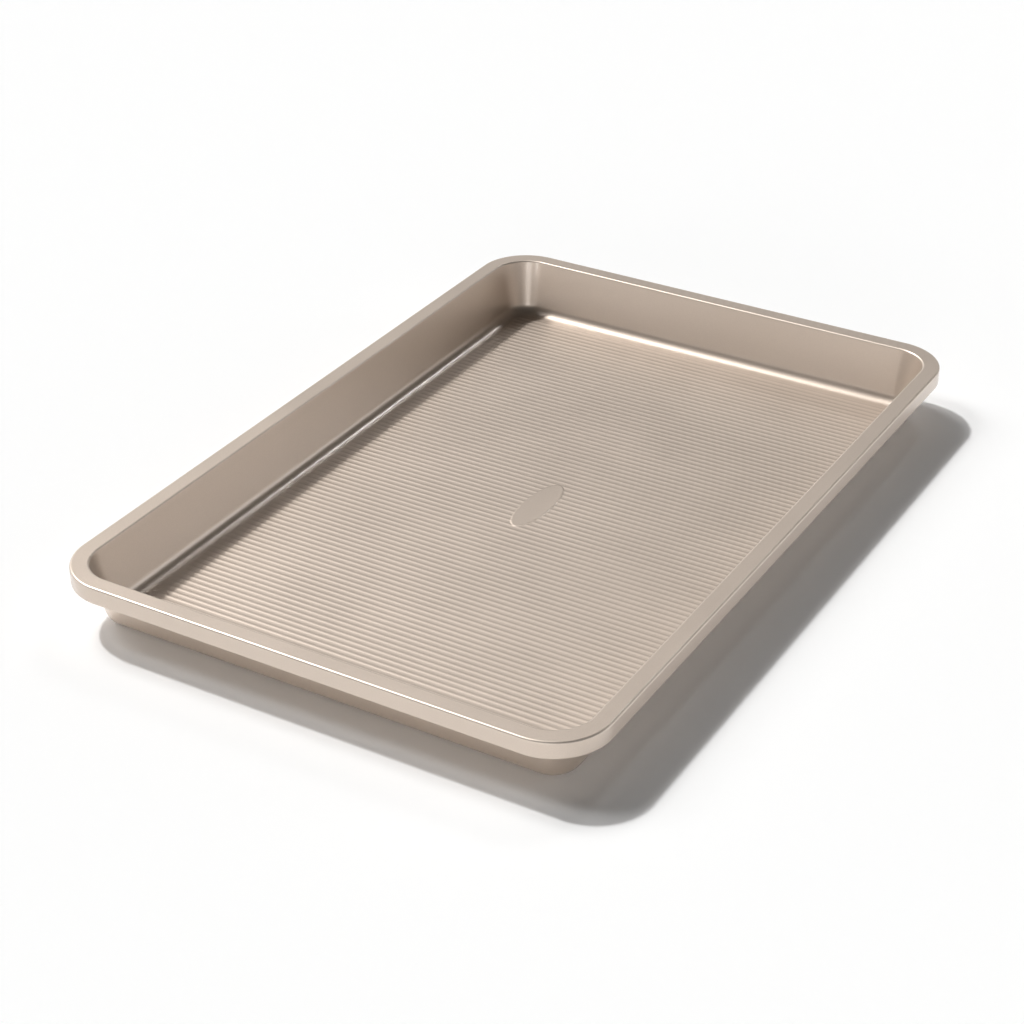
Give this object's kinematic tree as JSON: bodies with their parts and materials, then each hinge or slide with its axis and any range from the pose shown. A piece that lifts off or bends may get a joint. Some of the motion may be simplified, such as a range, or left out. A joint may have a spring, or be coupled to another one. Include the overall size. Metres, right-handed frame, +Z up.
{
  "type": "jelly roll pan",
  "caption": "Shallow rectangular baking pan pressed from one coated steel sheet, with a ribbed floor, drafted walls, rounded corners and a square-rolled rim over a steel wire loop.",
  "frame": {"origin": "middle of the pan, on the surface that it stands on", "axes": "+X along the pan, +Y across it, +Z up out of the tray"},
  "size_m": [0.381, 0.254, 0.028],
  "materials": {
    "coated_steel": "satin metallic non-stick coating, warm champagne",
    "galvanised_wire": "dull galvanised"
  },
  "bodies": {
    "root": {"pan_body": "coated_steel", "rim_wire": "galvanised_wire"}
  },
  "joints": []
}
